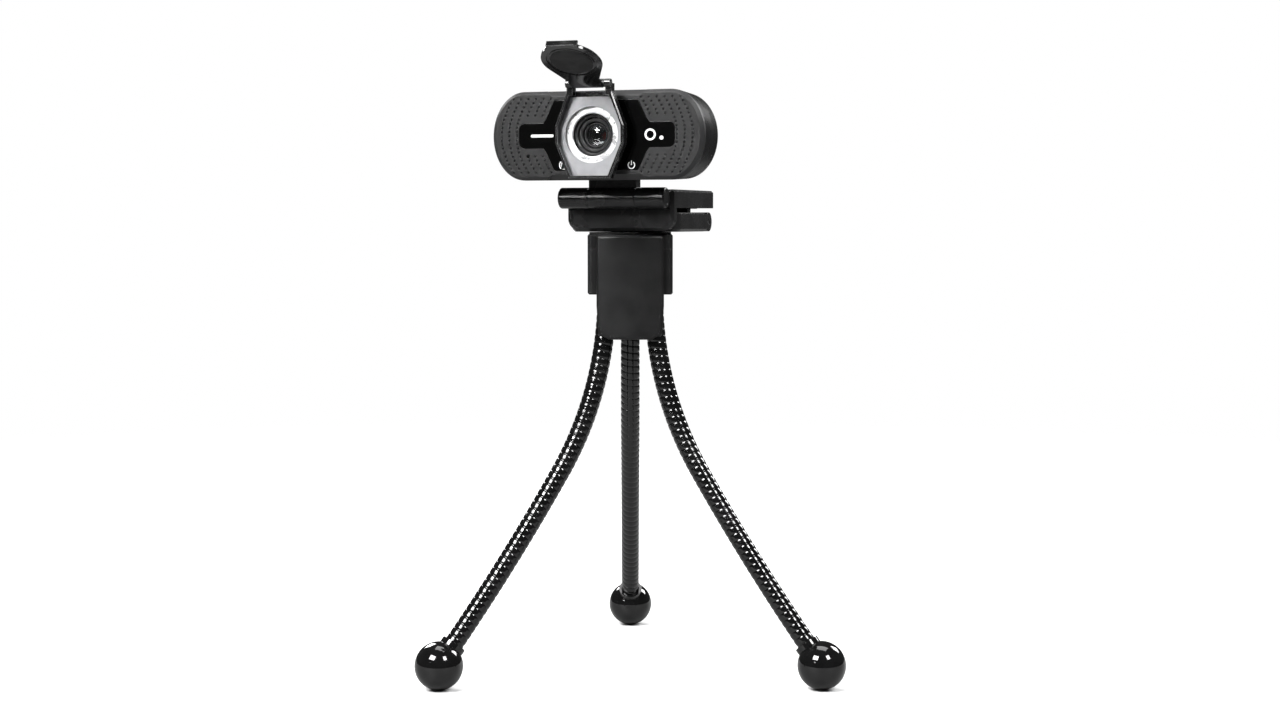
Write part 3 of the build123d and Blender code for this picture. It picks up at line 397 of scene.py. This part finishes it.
LOOKS = {
    "bezel_plastic": moulded("bezel_plastic", shade=0.009, roughness=0.42, grain_mm=0.22, grain=0.3,
                             edge_wear_and_highlight=0.05, painted_flank_sheen=0.022),
    "shell_plastic": moulded("shell_plastic", shade=0.004, roughness=0.26, grain_mm=0.3, grain=0.1,
                             edge_wear_and_highlight=0.02, edge_mm=0.6),
    "window_black": polished("window_black", shade=0.0006, roughness=0.05),
    "lens_black": moulded("lens_black", shade=0.018, roughness=0.3, grain_mm=0.15, grain=0.15,
                          edge_wear_and_highlight=0.16, edge_mm=0.18),
    "ring_metal": metal("ring_metal", (0.66, 0.66, 0.67), roughness=0.3, pitch_mm=0.5, strength=0.03,
                        metallic=0.6),
    # the cover's bright edge lines are mostly a painted highlight
    "cover_black": polished("cover_black", shade=0.008, roughness=0.16, edge_wear_and_highlight=0.35, edge_share=0.9),
    "cover_grey": metal("cover_grey", (0.26, 0.26, 0.27), roughness=0.4, pitch_mm=1.6, strength=0.14,
                        metallic=0.6),
    "lid_black": polished("lid_black", shade=0.006, roughness=0.14, edge_wear_and_highlight=0.06),
    "glass": clear_glass("glass", (0.93, 0.95, 0.96), roughness=0.02),
    "filter_glass": filter_with_painted_glint("filter_glass"),
    "sensor": image_sensor("sensor"),
    "circuit_board": circuit("circuit_board"),
    "chip_black": moulded("chip_black", shade=0.02, roughness=0.55, grain_mm=0.15, grain=0.3,
                          edge_wear_and_highlight=0.05, edge_mm=0.12),
    "socket_white": moulded("socket_white", shade=0.72, roughness=0.5, grain_mm=0.2, grain=0.2,
                            edge_wear_and_highlight=0.85, edge_mm=0.15),
    "clear_plastic": clear_glass("clear_plastic", (0.95, 0.95, 0.95), roughness=0.06),
    "lamp_white": painted("lamp_white", shade=0.8),
    "steel": turned("steel", (0.56, 0.57, 0.58), roughness=0.28),
    "brass": turned("brass", (0.78, 0.56, 0.26), roughness=0.26),
    "rubber": soft_rubber("rubber", shade=0.006),
    "clip_plastic": moulded("clip_plastic", shade=0.016, roughness=0.25, grain_mm=0.25, grain=0.12,
                            edge_wear_and_highlight=0.08),
    "head_plastic": moulded("head_plastic", shade=0.008, roughness=0.4, grain_mm=0.28, grain=0.25,
                            edge_wear_and_highlight=0.04),
    "leg_sleeve": polished("leg_sleeve", shade=0.003, roughness=0.14),
    "foot_black": polished("foot_black", shade=0.004, roughness=0.06),
    "print_white": painted("print_white", shade=0.86),
}


def dress_frame():
    """Every CAD node takes the finish of its record slot."""
    for part in frame["record"]["subparts"]:
        mesh = frame["nodes"][part["node"]].data
        mesh.materials.clear()
        mesh.materials.append(LOOKS[part["material_slot"]])


# ---------------------------------------------------------------- mesh kit
def piece(name, points, faces, body, look, smooth=True):
    """A mesh object, which rides on a CAD body where one is given."""
    mesh = bpy.data.meshes.new(name)
    mesh.from_pydata(points, [], faces)
    mesh.validate()
    mesh.materials.append(LOOKS[look])
    for polygon in mesh.polygons:
        polygon.use_smooth = smooth
    made = bpy.data.objects.new(name, mesh)
    bpy.context.scene.collection.objects.link(made)
    if body:
        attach(made, body)
    return made


def tube_faces(rings, around):
    """The faces of a closed tube made of rings of points, with a flat cap at each end."""
    faces = []
    for ring in range(rings - 1):
        for i in range(around):
            j = (i + 1) % around
            a = ring * around
            faces.append((a + i, a + j, a + around + j, a + around + i))
    faces.append(tuple(reversed(range(around))))
    faces.append(tuple((rings - 1) * around + i for i in range(around)))
    return faces


# ---------------------------------------------------------------- gooseneck legs
RIDGE_PITCH = 2.85 * MM
RIDGE_R = 3.9 * MM
RIDGE_DEPTH = 0.42 * MM
RIDGE_FLATNESS = 3.0  # 2 would be a half-ellipse, and more is flatter on top
RINGS_PER_RIDGE = 12
LEG_SIDES = 24
SLEEVE_TOP = -9.0 * MM  # up inside the head's socket
SLEEVE_END = LEG_LEN - 5.6 * MM  # inside the ball
BLEND_BEFORE = 8.0 * MM  # a stretch round a hinge starts this far before it
BLEND_AFTER = 20.0 * MM  # and ends this far after it; the ends are worked out but not used


def leg_point(s):
    """Distance out from the stud's axis, height, and lean, at a length s down a leg's centreline."""
    if s <= 0:
        return ROOT_OUT, CURVE_TOP - s, 0.0
    if s <= SECOND_HINGE:
        lean = s / CURVE_RADIUS
        return ROOT_OUT + CURVE_RADIUS * (1 - math.cos(lean)), CURVE_TOP - CURVE_RADIUS * math.sin(lean), lean
    out, height, bend = leg_point(SECOND_HINGE)
    lean = bend + (s - SECOND_HINGE) / LOWER_RADIUS
    out += LOWER_RADIUS * (math.cos(bend) - math.cos(lean))
    height -= LOWER_RADIUS * (math.sin(lean) - math.sin(bend))
    return out, height, lean


def leg_direction(side):
    """The level direction that a leg runs out in."""
    angle = TRIPOD_YAW + LEG_AZIMUTHS[side]
    return Vector((math.sin(angle), -math.cos(angle), 0))


def on_leg(side, s):
    """The point of a leg's centreline at a length s."""
    out, height, _ = leg_point(s)
    return leg_direction(side) * out + Vector((0, 0, height))


def ridge_radius(s, turn):
    """The sleeve's radius at a length s and a share of a turn: a round wire wound in a helix."""
    across = abs(2 * ((s / RIDGE_PITCH - turn) % 1.0) - 1)
    return RIDGE_R - RIDGE_DEPTH * (1 - (1 - across**RIDGE_FLATNESS) ** (1 / RIDGE_FLATNESS))


def sleeve(side, name, start, end):
    """One stretch of a leg's ribbed sleeve."""
    direction = leg_direction(side)
    across = Vector((0, 0, 1)).cross(direction)
    rings = max(2, round((end - start) / RIDGE_PITCH * RINGS_PER_RIDGE))
    points = []
    for ring in range(rings + 1):
        s = start + (end - start) * ring / rings
        centre = on_leg(side, s)
        lean = leg_point(s)[2]
        outward = direction * math.cos(lean) + Vector((0, 0, math.sin(lean)))
        for i in range(LEG_SIDES):
            turn = i / LEG_SIDES
            angle = turn * 2 * math.pi
            radius = ridge_radius(s, turn)
            points.append(centre + (outward * math.cos(angle) + across * math.sin(angle)) * radius)
    made = piece(name, points, tube_faces(rings + 1, LEG_SIDES), None, "leg_sleeve")
    sharpen_caps(made)
    return made


def sharpen_caps(made):
    """Keeps the end caps' edges crisp, so that the ridges shade alike on both sides of a join."""
    mesh = made.data
    rims = set()
    for cap in (mesh.polygons[-1], mesh.polygons[-2]):
        cap.use_smooth = False
        rims.update(cap.edge_keys)
    for edge in mesh.edges:
        if edge.key in rims:
            edge.use_edge_sharp = True


def gooseneck(side):
    """Three ribbed sleeves, one round each of the leg's three hinges, in place of its plain CAD tubes."""
    middles = [(HINGES[0] + HINGES[1]) / 2, (HINGES[1] + HINGES[2]) / 2]
    cuts = [SLEEVE_TOP] + middles + [SLEEVE_END]
    for i, part in enumerate(LEG_PARTS):
        made = sleeve(side, f"{side}_sleeve_{part}", cuts[i], cuts[i + 1])
        start = on_leg(side, HINGES[i] - BLEND_BEFORE)
        end = on_leg(side, HINGES[i] + BLEND_AFTER)
        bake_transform(made)
        replaced = [f"{side}_leg_{part}"]
        if part == "upper":
            replaced.append("leg_roots")
        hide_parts(*replaced)


# ---------------------------------------------------------------- marks on the window
# Places are x and z in millimetres from the lens axis.
MARK_PROUD = 0.05 * MM
MARK_SUNK = 0.03 * MM
ARC_STEPS = 20
BAR_END_STEPS = 12
BAR_X = -22.6
RING_X = 22.4
DOT_X, DOT_Z = 27.0, -1.3
SIGNAL_X, SIGNAL_Z = -13.5, -11.5
MAST_Z = -12.1
POWER_X, POWER_Z = 14.7, -11.7
STROKE_HALF_WIDTH = 0.18
STROKE_LOW, STROKE_HIGH = -11.7, -9.95


def flat_mark(name, outlines):
    """Thin printed shapes on the window, each with an outline that is a loop of points."""
    points, faces = [], []
    for loop in outlines:
        first = len(points)
        count = len(loop)
        for depth in (FACE_Y - MARK_PROUD, FACE_Y + MARK_SUNK):
            points += [(x * MM, depth, LENS_Z + z * MM) for x, z in loop]
        faces.append(tuple(first + i for i in range(count)))
        faces.append(tuple(first + count + i for i in reversed(range(count))))
        for i in range(count):
            j = (i + 1) % count
            faces.append((first + j, first + i, first + count + i, first + count + j))
    return piece(name, points, faces, "camera", "print_white", smooth=False)


def arc(x, z, radius, angles):
    """Points round a centre, at some angles in radians."""
    return [(x + radius * math.cos(a), z + radius * math.sin(a)) for a in angles]


def arc_band(x, z, radius, width, start, end):
    """A loop round part of a ring, from one angle to another in degrees."""
    angles = [math.radians(start + (end - start) * i / ARC_STEPS) for i in range(ARC_STEPS + 1)]
    return arc(x, z, radius + width / 2, angles) + arc(x, z, radius - width / 2, angles)[::-1]


def bar(x, z, width, height):
    """A bar with round ends."""
    end = height / 2
    half = width / 2 - end
    right = [math.radians(-90 + 180 * i / BAR_END_STEPS) for i in range(BAR_END_STEPS + 1)]
    return arc(x + half, z, end, right) + arc(x - half, z, -end, right)


def power_stroke():
    """The upright stroke of the power sign."""
    left, right = POWER_X - STROKE_HALF_WIDTH, POWER_X + STROKE_HALF_WIDTH
    return [(right, STROKE_LOW), (right, STROKE_HIGH), (left, STROKE_HIGH), (left, STROKE_LOW)]


def window_marks():
    """Generic marks: a long bar, a ring with a dot, a signal sign and a power sign."""
    flat_mark("bar_mark", [bar(BAR_X, 0.0, width=9.6, height=1.1)])
    halves = [arc_band(RING_X, 0.0, radius=1.9, width=0.75, start=start, end=start + 180)
              for start in (0, 180)]
    flat_mark("ring_mark", halves + [bar(DOT_X, DOT_Z, width=1.6, height=1.5)])
    waves = [bar(SIGNAL_X, MAST_Z, width=0.5, height=2.2)]
    for radius in (1.0, 1.8):
        for start in (-50, 130):
            waves.append(arc_band(SIGNAL_X, SIGNAL_Z, radius, width=0.32, start=start, end=start + 100))
    flat_mark("signal_mark", waves)
    ring = arc_band(POWER_X, POWER_Z, radius=1.35, width=0.36, start=-235, end=55)
    flat_mark("power_mark", [ring, power_stroke()])


# ---------------------------------------------------------------- studio
BACKDROP_WHITE = 1.0
FILL_LEVEL = 0.06
FLOOR_WHITE = 0.9
FLOOR_BOUNCE = 0.2  # how pale the floor is in reflections and as a source of fill
FLOOR_END = 1.1  # distances from the middle of the floor
FLOOR_FADE_START = 0.42
FLOOR_FADE_END = FLOOR_END * 0.95
FLOOR_GAP = 0.05 * MM  # below the lowest point of the feet
FLOOR_SIDES = 96


def mixed_shader(tree, factor, first, second):
    """A shader between two."""
    mix = tree.nodes.new("ShaderNodeMixShader")
    tree.links.new(factor, mix.inputs["Fac"])
    tree.links.new(first, mix.inputs[1])
    tree.links.new(second, mix.inputs[2])
    return mix.outputs["Shader"]


def white_light(tree, strength):
    """A white background shader."""
    node = tree.nodes.new("ShaderNodeBackground")
    node.inputs["Color"].default_value = (1, 1, 1, 1)
    node.inputs["Strength"].default_value = strength
    return node.outputs["Background"]


def white_room():
    """White to look at, and a softer fill to light with."""
    world = bpy.data.worlds.new("white_room")
    world.use_nodes = True
    tree = world.node_tree
    tree.nodes.clear()
    seen = tree.nodes.new("ShaderNodeLightPath").outputs["Is Camera Ray"]
    room = mixed_shader(tree, seen, white_light(tree, FILL_LEVEL), white_light(tree, BACKDROP_WHITE))
    tree.links.new(room, tree.nodes.new("ShaderNodeOutputWorld").inputs["Surface"])
    bpy.context.scene.world = world


def floor_white():
    """White to look at, greyer in reflections, and clear towards the floor's rim."""
    look = Look("floor_white", grey(FLOOR_WHITE, tint=0.0), roughness=0.6)
    look.mottle(amount=0.01, size_mm=40.0).smudge(amount=0.05, size_mm=30.0)
    seen = look.add("ShaderNodeLightPath").outputs["Is Camera Ray"]
    look.colour_out = look.mix(seen, grey(FLOOR_BOUNCE, tint=0.0), look.colour_out)
    distance = look.vector_math("LENGTH", look.place).outputs["Value"]
    fade = look.spread(distance, 0, 1, FLOOR_FADE_START, FLOOR_FADE_END)
    clear = look.add("ShaderNodeBsdfTransparent").outputs["BSDF"]
    surface = mixed_shader(look.tree, fade, look.shader.outputs["BSDF"], clear)
    look.join(surface, look.tree.nodes["Material Output"].inputs["Surface"])
    return look.done()


def pale_floor():
    """A round white floor that fades out before it ends."""
    angles = [2 * math.pi * i / FLOOR_SIDES for i in range(FLOOR_SIDES)]
    height = cad_low.z - FLOOR_GAP
    points = [(FLOOR_END * math.cos(a), FLOOR_END * math.sin(a), height) for a in angles]
    mesh = bpy.data.meshes.new("floor")
    mesh.from_pydata(points, [], [tuple(range(FLOOR_SIDES))])
    mesh.materials.append(floor_white())
    floor = bpy.data.objects.new("floor", mesh)
    bpy.context.scene.collection.objects.link(floor)


def softbox(name, place, target, width, height, watts, spread_deg=180):
    """A rectangular area light that faces a target. A small spread is a grid over the box."""
    data = bpy.data.lights.new(name, "AREA")
    data.shape = "RECTANGLE"
    data.size = width
    data.size_y = height
    data.energy = watts
    data.spread = math.radians(spread_deg)
    light = bpy.data.objects.new(name, data)
    light.location = place
    light.rotation_mode = "QUATERNION"
    light.rotation_quaternion = (Vector(target) - Vector(place)).to_track_quat("-Z", "Y")
    bpy.context.scene.collection.objects.link(light)


def round_about(azimuth_deg, elevation_deg, distance, middle=CENTRE):
    """A place round the object's centre or another point, by azimuth and elevation in degrees."""
    azimuth = math.radians(azimuth_deg)
    elevation = math.radians(elevation_deg)
    level = math.cos(elevation)
    way = Vector((math.sin(azimuth) * level, -math.cos(azimuth) * level, math.sin(elevation)))
    return middle + way * distance


def lights():
    """Two soft boxes high in front, one overhead, two behind, and a narrow strip for the clip's barrel."""
    front_left = round_about(azimuth_deg=-20, elevation_deg=40, distance=1.25)
    front_right = round_about(azimuth_deg=58, elevation_deg=40, distance=1.25)
    overhead = round_about(azimuth_deg=180, elevation_deg=80, distance=1.25)
    back_left = round_about(azimuth_deg=-130, elevation_deg=30, distance=1.4)
    back_right = round_about(azimuth_deg=150, elevation_deg=30, distance=1.4)
    softbox("left_light", front_left, CENTRE, width=0.55, height=0.42, watts=27.0)
    softbox("right_light", front_right, CENTRE, width=0.32, height=0.40, watts=11.0)
    softbox("top_light", overhead, CENTRE, width=0.9, height=0.6, watts=7.0)
    softbox("back_light_left", back_left, CENTRE, width=0.45, height=0.5, watts=14.0)
    softbox("back_light_right", back_right, CENTRE, width=0.45, height=0.5, watts=12.0)
    barrel = (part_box("tilt_pin")[0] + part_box("tilt_pin")[1]) / 2
    low_left = round_about(azimuth_deg=-20, elevation_deg=17, distance=1.2, middle=barrel)
    softbox("barrel_light", low_left, barrel, width=0.3, height=0.09, watts=0.06, spread_deg=16)


# ---------------------------------------------------------------- camera
VIEW_AZIMUTH = math.radians(20)
VIEW_DISTANCE = 0.83
VIEW_HEIGHT = 0.184
AIM_HEIGHT = 0.127
AIM_ASIDE = 0.004
LENS_MM = 57.0
SENSOR_MM = 36.0


def camera():
    """The photograph's view of the assembled webcam: a little towards +X, at about the clip's height."""
    data = bpy.data.cameras.new("camera")
    data.lens = LENS_MM
    data.sensor_width = SENSOR_MM
    made = bpy.data.objects.new("camera", data)
    away = Vector((math.sin(VIEW_AZIMUTH), -math.cos(VIEW_AZIMUTH), 0))
    across = Vector((math.cos(VIEW_AZIMUTH), math.sin(VIEW_AZIMUTH), 0))
    made.location = away * VIEW_DISTANCE + Vector((0, 0, VIEW_HEIGHT))
    aim = across * AIM_ASIDE + Vector((0, 0, AIM_HEIGHT))
    made.rotation_mode = "QUATERNION"
    made.rotation_quaternion = (aim - made.location).to_track_quat("-Z", "Y")
    bpy.context.scene.collection.objects.link(made)
    bpy.context.scene.camera = made


def plain_colours():
    """Shows the studio's whites as white."""
    settings = bpy.context.scene.view_settings
    settings.view_transform = "Standard"
    settings.look = "None"


dress_frame()
for leg_side in LEG_AZIMUTHS:
    gooseneck(leg_side)
window_marks()
white_room()
pale_floor()
lights()
camera()
plain_colours()
